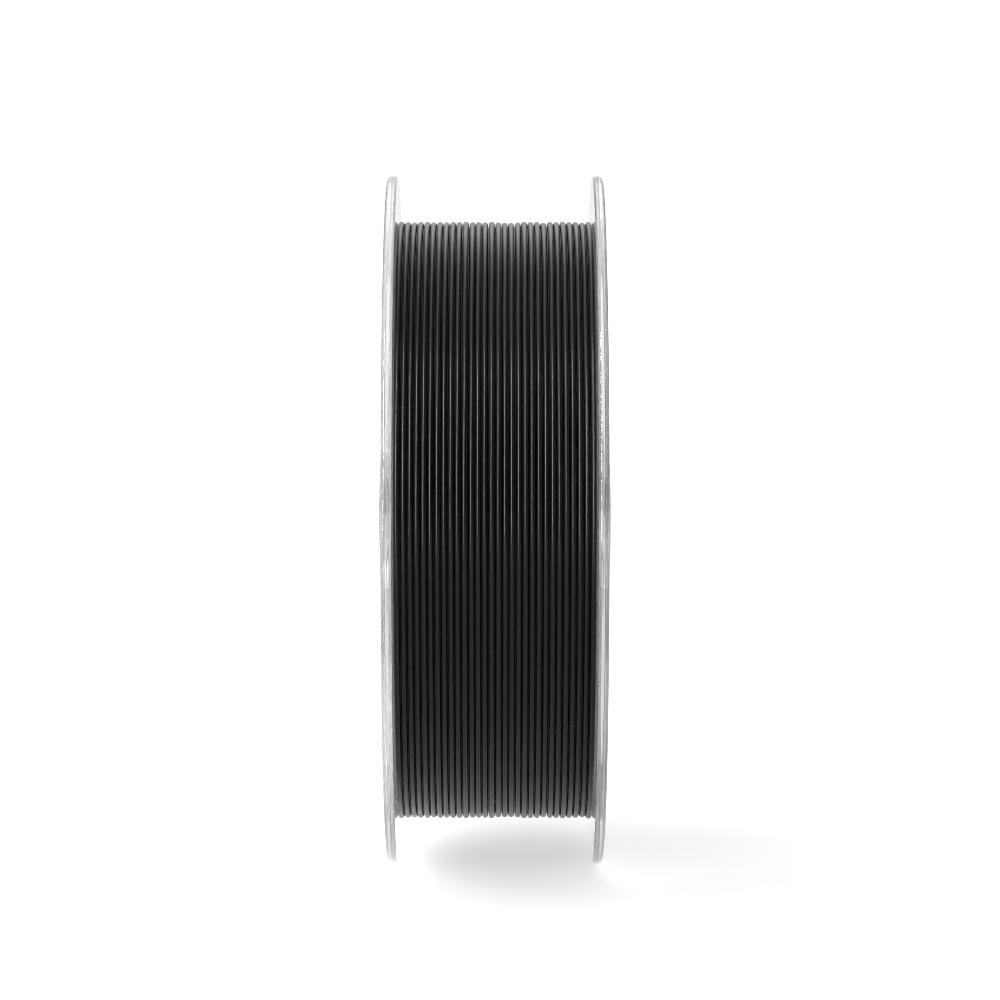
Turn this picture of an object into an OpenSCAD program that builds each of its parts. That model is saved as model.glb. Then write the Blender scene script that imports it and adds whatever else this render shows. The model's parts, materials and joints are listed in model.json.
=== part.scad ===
// Filament spool: two clear flanges, each moulded with its collar, on a ribbed clear core,
// with one continuous strand of filament wound on the core's barrel.
// The spool's axis lies along X and the origin is the centre of the bore. Units are millimetres.

/* [Flanges] */
// Outside diameter of a flange
flange_d = 200; // [180:1:220]
// Thickness of a flange
flange_t = 3; // [2.8:0.1:4]
// Radius of the rounded corners of a flange's rim
rim_round = 0.9; // [0.3:0.1:1.3]
// Distance between the flanges' inner faces
gap_w = 56.2; // [56.2:0.1:60]
// Diameter of the shallow seat for a label in each flange's outer face
seat_d = 110.4; // [100:0.2:120]
// Depth of the label seat
seat_depth = 0.4; // [0.2:0.1:0.6]

/* [Hub] */
// Bore that the holder's rod goes through
bore_d = 25; // [20:0.5:28]
// Diameter of the collar on the outside of each flange
collar_d = 36.6; // [34:0.2:42]
// How far a collar stands out of its flange
collar_h = 2.2; // [1.5:0.1:3]
// Wall of the tube that the rod runs in, between the flanges
hub_wall = 2.2; // [1.8:0.1:2.6]

/* [Barrel] */
// Wall of the barrel that the filament is wound on
barrel_wall = 2.4; // [2:0.1:3]
// Number of ribs between the hub tube and the barrel
ribs = 6; // [4:2:8]

/* [Filament] */
// Diameter of the filament
strand_d = 1.75; // [1.7:0.01:1.8]
// Distance between neighbouring turns in a layer
pitch = 1.868; // [1.83:0.002:1.868]
// Turns in a layer
turns = 30; // [26:1:30]
// Layers on the barrel
layers = 28; // [10:1:28]
// Outside radius of the full winding
wound_r = 86.9; // [85:0.1:88]

/* [Filament hole] */
// Diameter of the hole in each flange that the loose end is stored in
hole_d = 3.2; // [2:0.1:4]
// Distance of the hole from the axis
hole_r = 94.2; // [93:0.1:95]
// Angle of the hole round the axis, counted from the front over the top
hole_angle = 135; // [100:1:165]

/* [Hidden] */
$fn = 128;
clear_plastic = [0.86, 0.9, 0.92, 0.35];
core_plastic = [0.8, 0.85, 0.88, 0.55];
filament_black = [0.07, 0.07, 0.075];
eps = 0.01;

flange_r = flange_d / 2;
inner_x = gap_w / 2;
outer_x = inner_x + flange_t;
collar_x = outer_x + collar_h;
bore_r = bore_d / 2;
hub_r = bore_r + hub_wall;
collar_r = collar_d / 2;
collar_edge = 0.5;

// The layers sit in the grooves of the layer below, so they rise by less than a diameter.
layer_rise = sqrt(strand_d * strand_d - pitch * pitch / 4);
outer_turn_r = wound_r - strand_d / 2;
first_turn_r = outer_turn_r - (layers - 1) * layer_rise;
barrel_r = first_turn_r - strand_d / 2;
barrel_inner_r = barrel_r - barrel_wall;
first_turn_x = -(turns - 1) * pitch / 2;
layer_fit = 0.02;
bead_sides = 12;

// Each end of the barrel stands in a shallow groove in its flange.
groove_depth = 1;
groove_fit = 0.1;
rib_t = 1.6;
rib_inset = 4;

start_x = first_turn_x;
start_hole_d = 2.4;
start_bend_r = 3;
start_straight = 1;
start_tail = 12;
end_gap_angle = 14;
end_angle = 97;

// Lays a shape made round Z along X. Its zero angle then points down and 90 degrees to the back.
module along_x() {
    rotate([0, 90, 0]) children();
}

// The cross-section of the right-hand flange, as radius across and distance along the axis up.
module flange_section() {
    straight_r = flange_r - rim_round;
    edge_r = collar_r - collar_edge;
    difference() {
        union() {
            translate([bore_r, inner_x]) square([straight_r - bore_r, flange_t]);
            translate([straight_r - eps, inner_x + rim_round])
                square([rim_round + eps, flange_t - 2 * rim_round]);
            for (x = [inner_x + rim_round, outer_x - rim_round])
                translate([straight_r, x]) circle(rim_round);
            translate([bore_r, outer_x - eps]) square([edge_r - bore_r, collar_h + eps]);
            translate([edge_r - eps, outer_x - seat_depth])
                square([collar_edge + eps, seat_depth + collar_h - collar_edge]);
            translate([edge_r, collar_x - collar_edge]) circle(collar_edge, $fn = 32);
        }
        translate([collar_r, outer_x - seat_depth])
            square([seat_d / 2 - collar_r, seat_depth + eps]);
        translate([barrel_inner_r - groove_fit, inner_x - eps])
            square([barrel_wall + 2 * groove_fit, groove_depth + eps]);
    }
}

module flange() {
    color(clear_plastic) difference() {
        along_x() rotate_extrude($fn = 360) flange_section();
        rotate([-hole_angle, 0, 0]) translate([inner_x - 1, -hole_r, 0])
            rotate([0, 90, 0]) cylinder(h = flange_t + 2, d = hole_d, $fn = 48);
    }
}

module left_flange() {
    mirror([1, 0, 0]) flange();
}

module right_flange() {
    flange();
}

// A tube along the axis, centred on the middle of the spool.
module centred_tube(half_len, outer_r, inner_r) {
    along_x() translate([0, 0, -half_len]) difference() {
        cylinder(h = 2 * half_len, r = outer_r, $fn = 200);
        translate([0, 0, -1]) cylinder(h = 2 * half_len + 2, r = inner_r, $fn = 200);
    }
}

// The core: a barrel whose ends seat in the flanges, a hub tube between the flanges' bores,
// ribs that join the two, and a hole for the strand's start.
module barrel() {
    rib_half = inner_x - rib_inset;
    rib_start = (bore_r + hub_r) / 2;
    color(core_plastic) difference() {
        union() {
            centred_tube(inner_x + groove_depth, barrel_r, barrel_inner_r);
            centred_tube(inner_x, hub_r, bore_r);
            for (i = [0 : ribs - 1])
                rotate([i * 360 / ribs, 0, 0]) translate([-rib_half, -rib_t / 2, rib_start])
                    cube([2 * rib_half, rib_t, barrel_r - barrel_wall / 2 - rib_start]);
        }
        translate([start_x, -barrel_inner_r + 1, 0]) rotate([90, 0, 0])
            cylinder(h = barrel_wall + 3, d = start_hole_d, $fn = 32);
    }
}

// Where a layer's end turn lies. Every second layer has one turn fewer and sits half a pitch in.
function end_turn_x(layer) = -first_turn_x - ((layers - 1 - layer) % 2) * pitch / 2;

// All the layers under the outermost one, closed up into one ring with a bead at each end turn.
module filament_winding() {
    ring_h = outer_turn_r - strand_d / 2 - layer_fit - barrel_r;
    ring_x = -first_turn_x - pitch / 8;
    color(filament_black) along_x() rotate_extrude($fn = 240) {
        translate([barrel_r, -ring_x]) square([ring_h, 2 * ring_x]);
        for (layer = [0 : layers - 2], side = [-1, 1])
            translate([first_turn_r + layer * layer_rise, side * end_turn_x(layer)])
                circle(strand_d / 2, $fn = bead_sides);
    }
}

// The turns of the outermost layer, all but the last one, closed up into one ribbed sleeve.
module filament_outer_layer() {
    sleeve_w = (turns - 2) * pitch;
    color(filament_black) along_x() rotate_extrude($fn = 240) {
        translate([outer_turn_r - strand_d / 2, first_turn_x]) square([strand_d / 2, sleeve_w]);
        for (turn = [0 : turns - 2])
            translate([outer_turn_r, first_turn_x + turn * pitch])
                circle(strand_d / 2, $fn = bead_sides);
    }
}

// The last turn, which stops in a cut end at the back of the spool.
module filament_last_turn() {
    color(filament_black) along_x() rotate([0, 0, end_angle])
        rotate_extrude(angle = 360 - end_gap_angle, $fn = 240)
            translate([outer_turn_r, -first_turn_x]) circle(strand_d / 2, $fn = 32);
}

// The strand's inner end: it goes in through the barrel and is bent over inside.
module filament_start() {
    bend_y = -(barrel_inner_r - start_straight);
    color(filament_black) translate([start_x, 0, 0]) {
        translate([0, bend_y, 0]) rotate([90, 0, 0])
            cylinder(h = barrel_wall + start_straight, d = strand_d, $fn = 24);
        translate([start_bend_r, bend_y, 0]) rotate([0, 0, 90])
            rotate_extrude(angle = 90, $fn = 48)
                translate([start_bend_r, 0]) circle(d = strand_d, $fn = 24);
        translate([start_bend_r, bend_y + start_bend_r, 0]) rotate([0, 90, 0])
            cylinder(h = start_tail, d = strand_d, $fn = 24);
    }
}

left_flange();
right_flange();
barrel();
filament_winding();
filament_outer_layer();
filament_last_turn();
filament_start();
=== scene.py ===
"""A full filament spool with clear flanges, standing on its rims.

The spool's axis lies along X and the origin is the centre of its bore. Angles round the axis start
at the front, -Y, and rise to 90 degrees at the top.
"""

import json
import math

import bmesh
import bpy
import numpy as np
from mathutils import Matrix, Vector


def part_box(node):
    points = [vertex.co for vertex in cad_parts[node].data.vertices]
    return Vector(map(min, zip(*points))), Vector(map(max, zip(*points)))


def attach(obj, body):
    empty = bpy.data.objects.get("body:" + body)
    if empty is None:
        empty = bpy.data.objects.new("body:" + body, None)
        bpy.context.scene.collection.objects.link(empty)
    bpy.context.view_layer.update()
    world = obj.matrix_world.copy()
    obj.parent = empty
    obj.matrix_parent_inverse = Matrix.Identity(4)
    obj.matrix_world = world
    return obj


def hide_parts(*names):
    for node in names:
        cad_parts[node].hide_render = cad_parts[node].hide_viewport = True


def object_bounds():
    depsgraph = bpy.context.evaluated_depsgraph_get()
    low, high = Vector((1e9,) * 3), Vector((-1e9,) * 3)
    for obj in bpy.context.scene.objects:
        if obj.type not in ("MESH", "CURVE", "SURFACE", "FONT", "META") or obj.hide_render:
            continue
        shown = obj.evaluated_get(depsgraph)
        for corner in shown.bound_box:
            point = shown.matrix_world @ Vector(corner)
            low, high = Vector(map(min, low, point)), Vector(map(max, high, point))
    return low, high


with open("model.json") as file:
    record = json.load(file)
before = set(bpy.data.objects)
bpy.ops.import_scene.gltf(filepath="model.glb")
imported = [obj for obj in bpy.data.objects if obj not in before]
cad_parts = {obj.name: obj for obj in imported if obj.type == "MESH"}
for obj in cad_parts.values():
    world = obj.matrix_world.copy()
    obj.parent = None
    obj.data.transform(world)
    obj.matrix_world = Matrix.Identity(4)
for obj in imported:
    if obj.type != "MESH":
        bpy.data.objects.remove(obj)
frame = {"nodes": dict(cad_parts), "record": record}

MM = 0.001
TURN = 2 * math.pi

cad_box = [list(corner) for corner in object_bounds()]
record = frame["record"]


# ---------------------------------------------------------------- sizes, from the frame

flange_low, flange_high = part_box("right_flange")
barrel_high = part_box("barrel")[1]
outer_low, outer_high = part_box("filament_outer_layer")
last_low, last_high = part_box("filament_last_turn")

FLANGE_R = cad_box[1][2]
INNER_X = flange_low[0]
COLLAR_X = flange_high[0]
COLLAR_H = 2.2 * MM
OUTER_X = COLLAR_X - COLLAR_H
COLLAR_R = 18.3 * MM
BORE_R = record["mounts"][0]["dims"]["r_mm"] * MM
HUB_WALL = 2.2 * MM
HUB_R = BORE_R + HUB_WALL
BARREL_WALL = 2.4 * MM
BARREL_R = barrel_high[2]
BARREL_INNER_R = BARREL_R - BARREL_WALL
BARREL_X = barrel_high[0]

STRAND_R = (last_high[0] - last_low[0]) / 2
FIRST_X = outer_low[0] + STRAND_R
LAST_X = last_high[0] - STRAND_R
TURNS = 30
PITCH = (LAST_X - FIRST_X) / (TURNS - 1)
LAYERS = 28
LAYER_RISE = math.sqrt(4 * STRAND_R**2 - PITCH**2 / 4)
OUTER_TURN_R = outer_high[2] - STRAND_R
FIRST_TURN_R = OUTER_TURN_R - (LAYERS - 1) * LAYER_RISE
# The hidden layers' solid ring reaches from one end turn to the other, but for this share of a pitch.
RING_INSET = 1 / 8

RIM_ROUND = 0.9 * MM
COLLAR_ROUND = 0.5 * MM
SEAT_R = 55.2 * MM
SEAT_DEPTH = 0.4 * MM
GROOVE_FIT = 0.1 * MM
HOLE_R = 1.6 * MM
HOLE_FROM_AXIS = 94.2 * MM
HOLE_ANGLE = math.radians(135)
RIBS = 6
RIB_T = 1.6 * MM
RIB_INSET = 4 * MM
RIB_EDGE = 0.4 * MM
START_HOLE_R = 1.2 * MM
# The core stops just short of the flanges, so that no two faces lie in one plane.
END_FIT = 0.02 * MM
SHARP_DEG = 35


# ---------------------------------------------------------------- camera, as in the photograph

CAMERA_DISTANCE = 13.97 * FLANGE_R
CAMERA_ELEVATION = math.radians(5)
LENS_MM = 172.4
SENSOR_MM = 36
SHIFT = (0.005, 0.020)
VIEW_END = 50

camera_data = bpy.data.cameras.new("camera")
camera_data.lens = LENS_MM
camera_data.sensor_width = SENSOR_MM
camera_data.shift_x, camera_data.shift_y = SHIFT
camera_data.clip_end = VIEW_END
camera = bpy.data.objects.new("camera", camera_data)
camera.location = (
    0,
    -CAMERA_DISTANCE * math.cos(CAMERA_ELEVATION),
    CAMERA_DISTANCE * math.sin(CAMERA_ELEVATION),
)
camera.rotation_euler = (math.pi / 2 - CAMERA_ELEVATION, 0, 0)
bpy.context.collection.objects.link(camera)
bpy.context.scene.camera = camera


# ---------------------------------------------------------------- mesh helpers


def new_piece(name, verts, faces, material, sharp_deg=SHARP_DEG):
    """A smooth-shaded mesh object, with sharp edges where faces meet at more than sharp_deg."""
    mesh = bpy.data.meshes.new(name)
    mesh.from_pydata([tuple(v) for v in verts], [], faces)
    mesh.update()
    mesh.polygons.foreach_set("use_smooth", [True] * len(mesh.polygons))
    if sharp_deg:
        mesh.set_sharp_from_angle(angle=math.radians(sharp_deg))
    mesh.materials.append(material)
    obj = bpy.data.objects.new(name, mesh)
    bpy.context.collection.objects.link(obj)
    return obj


def round_axis(angle):
    """Unit vectors out from the axis at each angle, as rows."""
    angle = np.asarray(angle, float)
    return np.stack([np.zeros_like(angle), -np.cos(angle), np.sin(angle)], axis=-1)


def ring_faces(rings, sides, closed_rings):
    """Quads over a grid of rings of points, each ring closed on itself."""
    faces = []
    for i in range(rings if closed_rings else rings - 1):
        a, b = i * sides, (i + 1) % rings * sides
        for j in range(sides):
            k = (j + 1) % sides
            faces.append((a + j, a + k, b + k, b + j))
    return faces


def lathe(name, outline, material, steps=720):
    """A solid of revolution round the axis. The outline is a closed list of (x, radius)."""
    outline = np.array(outline)
    angles = np.arange(steps) * TURN / steps
    out = round_axis(angles)
    points = out[:, None, :] * outline[None, :, 1, None]
    points[:, :, 0] = outline[None, :, 0]
    faces = ring_faces(steps, len(outline), True)
    obj = new_piece(name, points.reshape(-1, 3), faces, material)
    face_outwards(obj)
    return obj


def face_outwards(obj):
    """Turns a closed mesh's faces to face out."""
    mesh = bmesh.new()
    mesh.from_mesh(obj.data)
    bmesh.ops.recalc_face_normals(mesh, faces=mesh.faces)
    mesh.to_mesh(obj.data)
    mesh.free()
    obj.data.update()


def rounded_outline(corners, arc_steps=8):
    """A closed outline from (x, radius, rounding) corners.

    A point close to each side of an arc keeps the shading of the flat faces flat.
    """
    hold = 0.04 * MM
    points = []
    count = len(corners)
    for i, (x, r, rounding) in enumerate(corners):
        here = np.array([x, r])
        before = np.array(corners[i - 1][:2])
        after = np.array(corners[(i + 1) % count][:2])
        if not rounding:
            points.append(here)
            continue
        back = (before - here) / np.linalg.norm(before - here)
        ahead = (after - here) / np.linalg.norm(after - here)
        half = math.acos(np.clip(back @ ahead, -1, 1)) / 2
        reach = rounding / math.tan(half)
        centre = here + (back + ahead) / np.linalg.norm(back + ahead) * rounding / math.sin(half)
        start, end = here + back * reach, here + ahead * reach
        points.append(start + back * hold)
        u, v = start - centre, end - centre
        sweep = math.acos(np.clip(u @ v / rounding**2, -1, 1))
        for k in range(arc_steps + 1):
            t = k / arc_steps
            points.append(
                centre + (math.sin((1 - t) * sweep) * u + math.sin(t * sweep) * v) / math.sin(sweep)
            )
        points.append(end + ahead * hold)
    return points


def mirrored(outline):
    """The same outline on the left-hand side."""
    return [(-x, r) for x, r in reversed([tuple(p) for p in outline])]


TUBE_SHARP_DEG = 60


def tube(name, x, radius, angle, material, thickness=STRAND_R, sides=16):
    """A strand along the points at these x, radii and angles round the axis, with flat cut ends."""
    out = round_axis(angle)
    centre = out * np.asarray(radius)[:, None]
    centre[:, 0] = x
    t = np.arange(sides) * TURN / sides
    across = np.cos(t)[None, :, None] * out[:, None, :]
    across[:, :, 0] += np.sin(t)[None, :]
    points = centre[:, None, :] + thickness * across
    rings = len(centre)
    faces = ring_faces(rings, sides, False)
    faces.append(tuple(reversed(range(sides))))
    faces.append(tuple(range((rings - 1) * sides, rings * sides)))
    return new_piece(name, points.reshape(-1, 3), faces, material, TUBE_SHARP_DEG)


def smooth(t):
    """0 before t = 0, 1 after t = 1, and an easy curve between."""
    t = np.clip(t, 0, 1)
    return t * t * (3 - 2 * t)


# ---------------------------------------------------------------- materials


def new_material(name):
    """An empty node material, and its nodes, links and Principled node."""
    material = bpy.data.materials.new(name)
    material.use_nodes = True
    nodes, links = material.node_tree.nodes, material.node_tree.links
    return material, nodes, links, nodes["Principled BSDF"]


def noise(nodes, links, scale, detail=2.0, roughness=0.5):
    """A noise texture in the object's own metres; its output is the grey value."""
    coords = nodes.new("ShaderNodeTexCoord")
    texture = nodes.new("ShaderNodeTexNoise")
    texture.inputs["Scale"].default_value = scale
    texture.inputs["Detail"].default_value = detail
    texture.inputs["Roughness"].default_value = roughness
    links.new(coords.outputs["Object"], texture.inputs["Vector"])
    return texture.outputs["Fac"]


def ranged(nodes, links, value, low, high, out_low, out_high):
    """value taken from low..high to out_low..out_high, and held outside."""
    node = nodes.new("ShaderNodeMapRange")
    node.inputs["From Min"].default_value = low
    node.inputs["From Max"].default_value = high
    node.inputs["To Min"].default_value = out_low
    node.inputs["To Max"].default_value = out_high
    links.new(value, node.inputs["Value"])
    return node.outputs["Result"]


def ramp(nodes, links, value, stops):
    """A colour ramp with (position, colour) stops."""
    node = nodes.new("ShaderNodeValToRGB")
    elements = node.color_ramp.elements
    while len(elements) < len(stops):
        elements.new(0.5)
    for element, (position, colour) in zip(elements, stops):
        element.position = position
        element.color = (*colour, 1)
    links.new(value, node.inputs["Fac"])
    return node.outputs["Color"]


def math_node(nodes, links, operation, a, b=0):
    """a and b put through a maths operation; each is a socket or a number."""
    node = nodes.new("ShaderNodeMath")
    node.operation = operation
    for socket, value in zip(node.inputs, (a, b)):
        if isinstance(value, (int, float)):
            socket.default_value = value
        else:
            links.new(value, socket)
    return node.outputs[0]


def float_mix(nodes, links, factor, a, b):
    """a where factor is 0 and b where it is 1; each is a socket or a number."""
    node = nodes.new("ShaderNodeMix")
    node.data_type = "FLOAT"
    links.new(factor, node.inputs["Factor"])
    for name, value in (("A", a), ("B", b)):
        if isinstance(value, (int, float)):
            node.inputs[name].default_value = value
        else:
            links.new(value, node.inputs[name])
    return node.outputs[0]


def bump(nodes, links, height, distance, strength):
    """A normal that follows a grey height."""
    node = nodes.new("ShaderNodeBump")
    node.inputs["Distance"].default_value = distance
    node.inputs["Strength"].default_value = strength
    links.new(height, node.inputs["Height"])
    return node.outputs["Normal"]


CLEAR_TINT = (0.73, 0.74, 0.74, 1)
CLEAR_IOR = 1.585
CLEAR_SHEEN = 0.02
CLEAR_SHEEN_ROUGHNESS = 0.4
WEAR_SCALE = 900
WEAR_ROUGHNESS = 0.004
FROST_ROUGHNESS = 0.25
FROST_EDGE = 0.2 * MM


def clear_plastic(name, frosted=None):
    """Polished clear plastic with faint wear. frosted is the (inner, outer) radius of a matt ring."""
    material, nodes, links, shader = new_material(name)
    shader.inputs["Base Color"].default_value = CLEAR_TINT
    shader.inputs["Transmission Weight"].default_value = 1.0
    shader.inputs["IOR"].default_value = CLEAR_IOR
    shader.inputs["Sheen Weight"].default_value = CLEAR_SHEEN
    shader.inputs["Sheen Roughness"].default_value = CLEAR_SHEEN_ROUGHNESS
    wear = noise(nodes, links, WEAR_SCALE, 3)
    roughness = ranged(nodes, links, wear, 0.45, 0.8, 0.0, WEAR_ROUGHNESS)
    if frosted:
        coords = nodes.new("ShaderNodeTexCoord")
        across = nodes.new("ShaderNodeVectorMath")
        across.operation = "MULTIPLY"
        across.inputs[1].default_value = (0, 1, 1)
        links.new(coords.outputs["Object"], across.inputs[0])
        length = nodes.new("ShaderNodeVectorMath")
        length.operation = "LENGTH"
        links.new(across.outputs["Vector"], length.inputs[0])
        inner, outer = frosted
        out = length.outputs["Value"]
        past_inner = ranged(nodes, links, out, inner - FROST_EDGE, inner, 0.0, FROST_ROUGHNESS)
        within_outer = ranged(nodes, links, out, outer, outer + FROST_EDGE, 1.0, 0.0)
        matt = math_node(nodes, links, "MULTIPLY", past_inner, within_outer)
        roughness = math_node(nodes, links, "ADD", roughness, matt)
    links.new(roughness, shader.inputs["Roughness"])
    return material


SPECKLE_SCALE = 5200
SPECKLE_STOPS = [(0.45, (0.0003, 0.0003, 0.0003)), (0.72, (0.014, 0.014, 0.015))]
SPECKLE_HEIGHT = 0.03 * MM
SPECKLE_STRENGTH = 0.75
DRIFT_SCALE = 60
FILAMENT_ROUGHNESS = (0.22, 0.28)
FILAMENT_SPECULAR = 0.2


def filament_plastic():
    """Matte black filament with a fine speckle from its fibre filling."""
    material, nodes, links, shader = new_material("filament")
    speckle = noise(nodes, links, SPECKLE_SCALE, 2, 0.6)
    drift = noise(nodes, links, DRIFT_SCALE, 3)
    links.new(ramp(nodes, links, speckle, SPECKLE_STOPS), shader.inputs["Base Color"])
    shader.inputs["Specular IOR Level"].default_value = FILAMENT_SPECULAR
    roughness = ranged(nodes, links, drift, 0.3, 0.7, *FILAMENT_ROUGHNESS)
    links.new(roughness, shader.inputs["Roughness"])
    normal = bump(nodes, links, speckle, SPECKLE_HEIGHT, SPECKLE_STRENGTH)
    links.new(normal, shader.inputs["Normal"])
    return material


FLOOR_GRAIN_SCALE = 3
FLOOR_STOPS = [(0.3, (0.90, 0.90, 0.90)), (0.7, (0.91, 0.91, 0.91))]
FLOOR_ROUGHNESS = 0.9
FLOOR_SPECULAR = 0.1
FLOOR_GLOW = 0.52


def floor_paint():
    """Matt white paint that glows slightly, as an overexposed studio floor does."""
    material, nodes, links, shader = new_material("floor_white")
    grain = noise(nodes, links, FLOOR_GRAIN_SCALE, 2)
    links.new(ramp(nodes, links, grain, FLOOR_STOPS), shader.inputs["Base Color"])
    shader.inputs["Roughness"].default_value = FLOOR_ROUGHNESS
    shader.inputs["Specular IOR Level"].default_value = FLOOR_SPECULAR
    shader.inputs["Emission Color"].default_value = (1, 1, 1, 1)
    shader.inputs["Emission Strength"].default_value = FLOOR_GLOW
    return material


CLEAR = clear_plastic("clear_plastic")
CLEAR_FLANGE = clear_plastic("clear_flange", (BARREL_R, SEAT_R))
FILAMENT = filament_plastic()


# ---------------------------------------------------------------- the clear mouldings


def rod(name, start, end, radius, steps=48):
    """A plain closed rod from start to end, to cut a hole with."""
    start, end = np.array(start), np.array(end)
    along = (end - start) / np.linalg.norm(end - start)
    side = np.cross(along, (0.3, 0.2, 1.0))
    side /= np.linalg.norm(side)
    other = np.cross(along, side)
    t = np.arange(steps)[:, None] * TURN / steps
    ring = radius * (np.cos(t) * side + np.sin(t) * other)
    faces = ring_faces(2, steps, False)
    faces += [tuple(range(steps)), tuple(range(steps, 2 * steps))]
    obj = new_piece(name, np.concatenate([start + ring, end + ring]), faces, CLEAR)
    face_outwards(obj)
    return obj


def combine(obj, others, operation):
    """Joins other closed solids to obj, or cuts them out of it, and removes them."""
    for other in others:
        step = obj.modifiers.new("step", "BOOLEAN")
        step.operation = operation
        step.solver = "EXACT"
        step.object = other
    apply_modifiers(obj)
    for other in others:
        bpy.data.objects.remove(other)
    obj.data.set_sharp_from_angle(angle=math.radians(SHARP_DEG))


def apply_modifiers(obj):
    """Bakes obj's modifiers into its mesh."""
    bpy.context.view_layer.update()
    evaluated = obj.evaluated_get(bpy.context.evaluated_depsgraph_get())
    mesh = bpy.data.meshes.new_from_object(evaluated)
    obj.modifiers.clear()
    obj.data = mesh


def clear_part(obj, node):
    """Puts a finished clear moulding in a CAD node's place. It casts no hard shadow."""
    obj.visible_shadow = False
    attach(obj, "root")
    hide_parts(node)


def flange(side):
    """One clear flange: a disc with a rounded rim, a collar, a label seat and the barrel's groove."""
    fine = 0.1 * MM
    seat_x = OUTER_X - SEAT_DEPTH
    outline = rounded_outline(
        [
            (COLLAR_X, BORE_R, COLLAR_ROUND),
            (COLLAR_X, COLLAR_R, COLLAR_ROUND),
            (seat_x, COLLAR_R, 2 * fine),
            (seat_x, SEAT_R, fine),
            (OUTER_X, SEAT_R, fine),
            (OUTER_X, FLANGE_R, RIM_ROUND),
            (INNER_X, FLANGE_R, RIM_ROUND),
            (INNER_X, BARREL_R + GROOVE_FIT, fine),
            (BARREL_X, BARREL_R + GROOVE_FIT, fine),
            (BARREL_X, BARREL_INNER_R - GROOVE_FIT, fine),
            (INNER_X, BARREL_INNER_R - GROOVE_FIT, fine),
            (INNER_X, BORE_R, fine),
        ]
    )
    if side < 0:
        outline = mirrored(outline)
    name = "left_flange_moulding" if side < 0 else "right_flange_moulding"
    obj = lathe(name, outline, CLEAR_FLANGE)
    hole = HOLE_FROM_AXIS * round_axis(HOLE_ANGLE)
    through = np.array([2 * (OUTER_X - INNER_X), 0, 0])
    middle = hole + np.array([side * (INNER_X + OUTER_X) / 2, 0, 0])
    combine(obj, [rod("drill", middle - through, middle + through, HOLE_R)], "DIFFERENCE")
    clear_part(obj, "left_flange" if side < 0 else "right_flange")


def rib(angle):
    """A flat rib from the hub tube to the barrel, with bevelled end edges."""
    half = INNER_X - RIB_INSET
    thick = RIB_T / 2
    flat_half, flat_thick = half - RIB_EDGE, thick - RIB_EDGE
    low, high = (BORE_R + HUB_R) / 2, (BARREL_R + BARREL_INNER_R) / 2
    section = [
        (-half, -flat_thick),
        (-half, flat_thick),
        (-flat_half, thick),
        (flat_half, thick),
        (half, flat_thick),
        (half, -flat_thick),
        (flat_half, -thick),
        (-flat_half, -thick),
    ]
    out = round_axis(angle)
    across = np.cross((1, 0, 0), out)
    verts = []
    for r in (low, high):
        verts += [np.array((x, 0, 0)) + across * y + out * r for x, y in section]
    count = len(section)
    faces = ring_faces(2, count, False) + [tuple(range(count)), tuple(range(count, 2 * count))]
    obj = new_piece("rib", verts, faces, CLEAR)
    face_outwards(obj)
    return obj


def core():
    """The barrel that the strand is wound on, with a hub tube inside it and ribs between the two."""
    fine = 0.2 * MM
    end_x = BARREL_X - END_FIT
    hub_x = INNER_X - END_FIT
    shells = []
    for x, low, high in ((end_x, BARREL_INNER_R, BARREL_R), (hub_x, BORE_R, HUB_R)):
        corners = [(-x, low, fine), (-x, high, fine), (x, high, fine), (x, low, fine)]
        shells.append(lathe("barrel_moulding", rounded_outline(corners, 4), CLEAR, 300))
    barrel, hub = shells
    spread = [TURN / 4 + i * TURN / RIBS for i in range(RIBS)]
    combine(barrel, [rib(angle) for angle in spread] + [hub], "UNION")
    inside = (FIRST_X, -BARREL_INNER_R + MM, 0)
    outside = (FIRST_X, -BARREL_R - MM, 0)
    combine(barrel, [rod("drill", inside, outside, START_HOLE_R)], "DIFFERENCE")
    clear_part(barrel, "barrel")


for side in (-1, 1):
    flange(side)
core()
for material_slot in frame["nodes"]["filament_start"].material_slots:
    material_slot.material = FILAMENT


# ---------------------------------------------------------------- the strand

chance = np.random.RandomState(7)
STEP_CENTRE = math.pi
STEP_WIDTH = math.radians(26)
CUT_ANGLE_DEG = 14
OUTER_STEPS = 200
INNER_STEPS = 180
INNER_SIDES = 12
# The outermost turns are a little slack, and lie a little lower than in the CAD.
SLACK = 0.015 * MM
OUTER_DROP = 0.12 * MM
SECOND_DROP = 0.2 * MM
OUTER_WOBBLE = 0.10 * MM
SECOND_WOBBLE = 0.03 * MM
X_WOBBLE = 0.02 * MM
END_WOBBLE = 0.05 * MM
END_TURN_REACH = 1.03
CLIMB_SPREAD = 0.10
SMOOTHING = 15
WAVES = 5
WAVE_RATE = 0.73
WAVE_HEIGHT = 1.2


def wander(angle, size):
    """A smooth random wave over angle, about size high."""
    total = np.zeros_like(angle)
    for wave in range(1, WAVES + 1):
        height = chance.normal(0, 1) / wave
        total += height * np.sin(wave * WAVE_RATE * angle + chance.uniform(0, TURN))
    return size * total / WAVE_HEIGHT


def smoothed(values):
    """values averaged over a short window."""
    window = np.ones(SMOOTHING) / SMOOTHING
    return np.convolve(np.pad(values, SMOOTHING // 2, mode="edge"), window, "valid")


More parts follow.
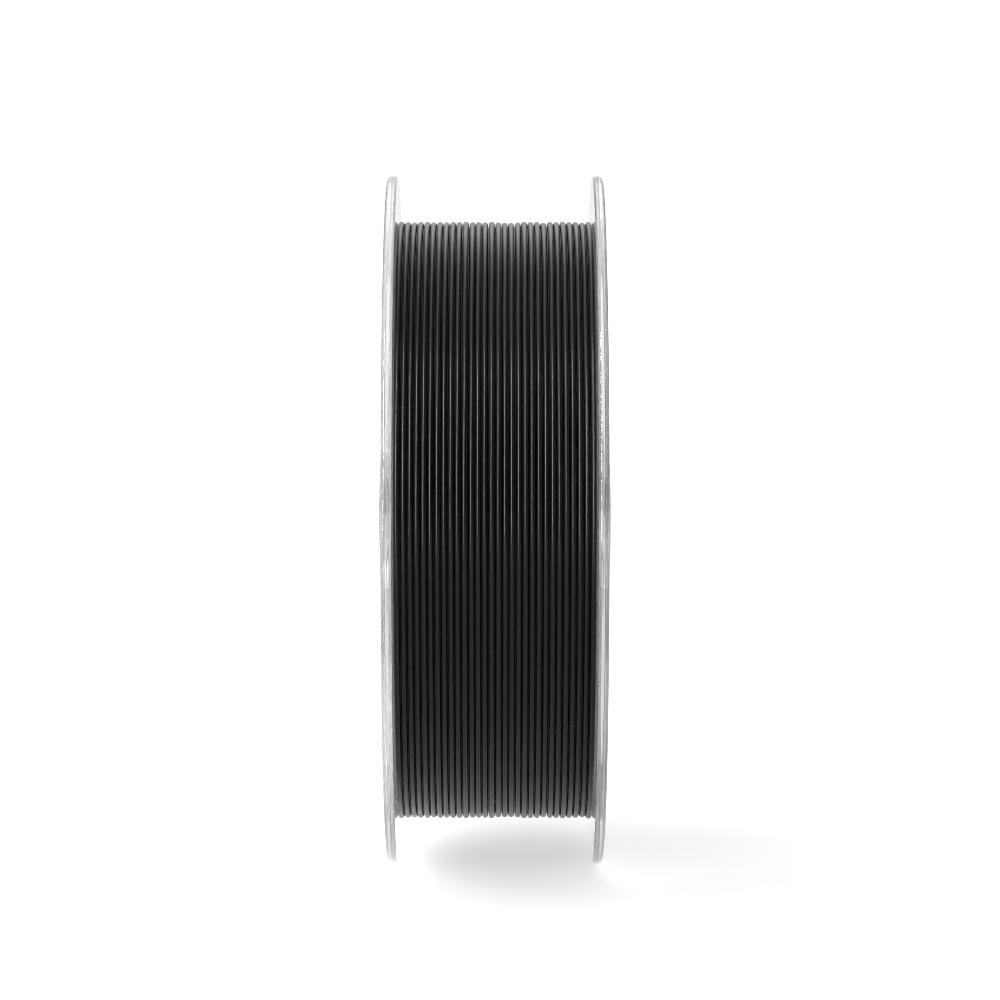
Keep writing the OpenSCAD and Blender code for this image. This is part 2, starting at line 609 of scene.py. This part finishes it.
def wound(turn_count, first_x, radius, steps, wobble, x_wobble):
    """x, radius and angle of a layer: level turns that each step over by one pitch at the back."""
    start = STEP_CENTRE + STEP_WIDTH / 2
    angle = np.arange(turn_count * steps + 1) * TURN / steps + start
    turns_done = (angle - start) / TURN
    whole = np.floor(turns_done + 1e-9)
    part = turns_done - whole
    step = smooth((part * TURN - (TURN - STEP_WIDTH)) / STEP_WIDTH)
    x = first_x + PITCH * np.minimum(whole + step, turn_count - 1)
    r = np.full_like(angle, radius)
    for turn in range(turn_count):
        at = whole == turn
        r[at] += wobble * chance.normal(0, 1)
        x[at] += x_wobble * chance.normal(0, 1)
    r = smoothed(r) + wander(angle, wobble / 4)
    x = smoothed(x) + wander(angle, x_wobble / 2)
    return x, r, angle


def winding():
    """The outermost layer as one strand with a cut end, the layer under it, and a ring for the rest."""
    x, r, angle = wound(
        TURNS, FIRST_X, OUTER_TURN_R - OUTER_DROP, OUTER_STEPS, OUTER_WOBBLE, X_WOBBLE
    )
    cut = int(OUTER_STEPS * CUT_ANGLE_DEG / 360)
    r = np.minimum(r, OUTER_TURN_R)
    outer = tube(
        "filament_outer_turns", x[:-cut], r[:-cut], angle[:-cut], FILAMENT, STRAND_R - SLACK
    )
    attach(outer, "root")
    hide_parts("filament_outer_layer", "filament_last_turn")

    second_r = OUTER_TURN_R - LAYER_RISE - SECOND_DROP
    x, r, angle = wound(
        TURNS - 1, FIRST_X + PITCH / 2, second_r, INNER_STEPS, SECOND_WOBBLE, X_WOBBLE
    )
    under = tube("filament_second_layer", x, r, angle, FILAMENT, sides=INNER_SIDES)
    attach(under, "root")

    top = OUTER_TURN_R - 1.5 * LAYER_RISE
    end = -FIRST_X - PITCH * RING_INSET
    outline = [(-end, BARREL_R), (end, BARREL_R), (end, top), (-end, top)]
    ring = lathe("filament_inner_layers", outline, FILAMENT, 240)
    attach(ring, "root")
    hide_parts("filament_winding")


def end_turns():
    """The end turns of the inner layers, which show through the flanges.

    Each strand is a layer's last turn, which climbs and goes on as the next layer's first turn.
    """
    for layer in range(LAYERS - 1):
        side = 1 if layer % 2 == 0 else -1
        climb_at = STEP_CENTRE + chance.normal(0, CLIMB_SPREAD)
        points = int(2 * END_TURN_REACH * INNER_STEPS)
        angle = climb_at + np.linspace(-END_TURN_REACH, END_TURN_REACH, points) * TURN
        up = smooth((angle - climb_at) / STEP_WIDTH + 0.5)
        x_low = LAST_X - (LAYERS - 1 - layer) % 2 * PITCH / 2
        x_high = LAST_X - (LAYERS - 2 - layer) % 2 * PITCH / 2
        x = x_low + (x_high - x_low) * up
        tuck = smooth((climb_at - TURN - angle) / STEP_WIDTH + 0.5)
        tuck = tuck + smooth((angle - climb_at - TURN) / STEP_WIDTH + 0.5)
        x = side * (x - PITCH * tuck)
        r = FIRST_TURN_R + layer * LAYER_RISE + LAYER_RISE * up
        r = r + wander(angle, END_WOBBLE)
        name = f"filament_end_turns_{layer + 1:02d}"
        obj = tube(name, x, r, angle, FILAMENT, sides=INNER_SIDES)
        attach(obj, "root")


winding()
end_turns()


# ---------------------------------------------------------------- floor and light


FLOOR_CELLS = 12
FLOOR_CELL = 1.0


def floor():
    """A large pale floor that the rims stand on."""
    half = FLOOR_CELLS * FLOOR_CELL / 2
    row = FLOOR_CELLS + 1
    verts = [
        (i * FLOOR_CELL - half, j * FLOOR_CELL - half, -FLANGE_R)
        for i in range(row)
        for j in range(row)
    ]
    faces = []
    for i in range(FLOOR_CELLS):
        for j in range(FLOOR_CELLS):
            a = i * row + j
            faces.append((a, a + row, a + row + 1, a + 1))
    obj = new_piece("floor", verts, faces, floor_paint(), 0)


SOFTBOX_PLACE = (-0.42, -1.1, 0.75)
SOFTBOX_SIZE = (0.08, 1.9)
SOFTBOX_WATTS = 56
KEY_DIRECTION = (0.75, -0.05, -1.1)
KEY_STRENGTH = 0.7
KEY_WIDTH = math.radians(45)

# How bright the world is on the camera's side and behind the spool, and how many times that
# overhead and in the flags.
FRONT_TO_BACK = (0.02, 0.92)
OVERHEAD = 2.6
FLAGGED = 0.15
# How bright it is in all directions to diffuse rays, and to the camera.
AMBIENT = 0.52
BACKGROUND = 1.03


def softbox(name, place, target, width, height, watts):
    """An area light that faces a point and is seen in reflections, but doesn't light the floor."""
    data = bpy.data.lights.new(name, "AREA")
    data.shape = "RECTANGLE"
    data.size = width
    data.size_y = height
    data.energy = watts
    obj = bpy.data.objects.new(name, data)
    obj.location = place
    aim = Vector(target) - Vector(place)
    obj.rotation_euler = aim.to_track_quat("-Z", "Y").to_euler()
    obj.visible_diffuse = False
    bpy.context.collection.objects.link(obj)


def studio():
    """A white studio with a bright backdrop and ceiling, a dark camera side and dark flags at the sides.

    A tall softbox stands at the left of the camera, and a soft key light shines from above. The
    world differs by kind of ray: clear plastic sees no bright ceiling, and sees a white wall straight
    to the sides.
    """
    world = bpy.data.worlds.new("studio")
    bpy.context.scene.world = world
    world.use_nodes = True
    nodes, links = world.node_tree.nodes, world.node_tree.links
    background = nodes["Background"]
    coords = nodes.new("ShaderNodeTexCoord")
    split = nodes.new("ShaderNodeSeparateXYZ")
    links.new(coords.outputs["Generated"], split.inputs[0])
    backdrop = ranged(nodes, links, split.outputs["Y"], -0.78, 0.0, *FRONT_TO_BACK)
    ceiling = ranged(nodes, links, split.outputs["Z"], 0.25, 0.6, 1.0, OVERHEAD)
    sideways = math_node(nodes, links, "ABSOLUTE", split.outputs["X"])
    flags = ranged(nodes, links, sideways, 0.12, 0.38, 1.0, FLAGGED)
    reflected = math_node(nodes, links, "MULTIPLY", backdrop, flags)
    reflected = math_node(nodes, links, "MULTIPLY", reflected, ceiling)
    walls = ranged(nodes, links, sideways, 0.6, 0.8, 0.0, 1.0)
    past_flags = math_node(nodes, links, "MAXIMUM", flags, walls)
    past_backdrop = math_node(nodes, links, "MAXIMUM", backdrop, walls)
    through = math_node(nodes, links, "MULTIPLY", past_backdrop, past_flags)
    path = nodes.new("ShaderNodeLightPath")
    sharp = float_mix(nodes, links, path.outputs["Is Transmission Ray"], reflected, through)
    lit = float_mix(nodes, links, path.outputs["Is Diffuse Ray"], sharp, AMBIENT)
    seen = float_mix(nodes, links, path.outputs["Is Camera Ray"], lit, BACKGROUND)
    links.new(seen, background.inputs["Strength"])
    background.inputs["Color"].default_value = (1, 1, 1, 1)

    softbox("left_light", SOFTBOX_PLACE, (0, 0, 0), *SOFTBOX_SIZE, SOFTBOX_WATTS)
    key = bpy.data.lights.new("key_light", "SUN")
    key.energy = KEY_STRENGTH
    key.angle = KEY_WIDTH
    key_object = bpy.data.objects.new("key_light", key)
    key_object.rotation_euler = Vector(KEY_DIRECTION).to_track_quat("-Z", "Y").to_euler()
    key_object.visible_transmission = False
    bpy.context.collection.objects.link(key_object)


floor()
studio()

# Light goes round inside a clear flange's rim many times before it comes out.
BOUNCES = 64
PIXEL_FILTER = 0.9
cycles = bpy.context.scene.cycles
cycles.filter_width = PIXEL_FILTER
cycles.max_bounces = BOUNCES
cycles.glossy_bounces = BOUNCES
cycles.transmission_bounces = BOUNCES
bpy.context.scene.view_settings.view_transform = "Standard"
bpy.context.scene.view_settings.look = "None"
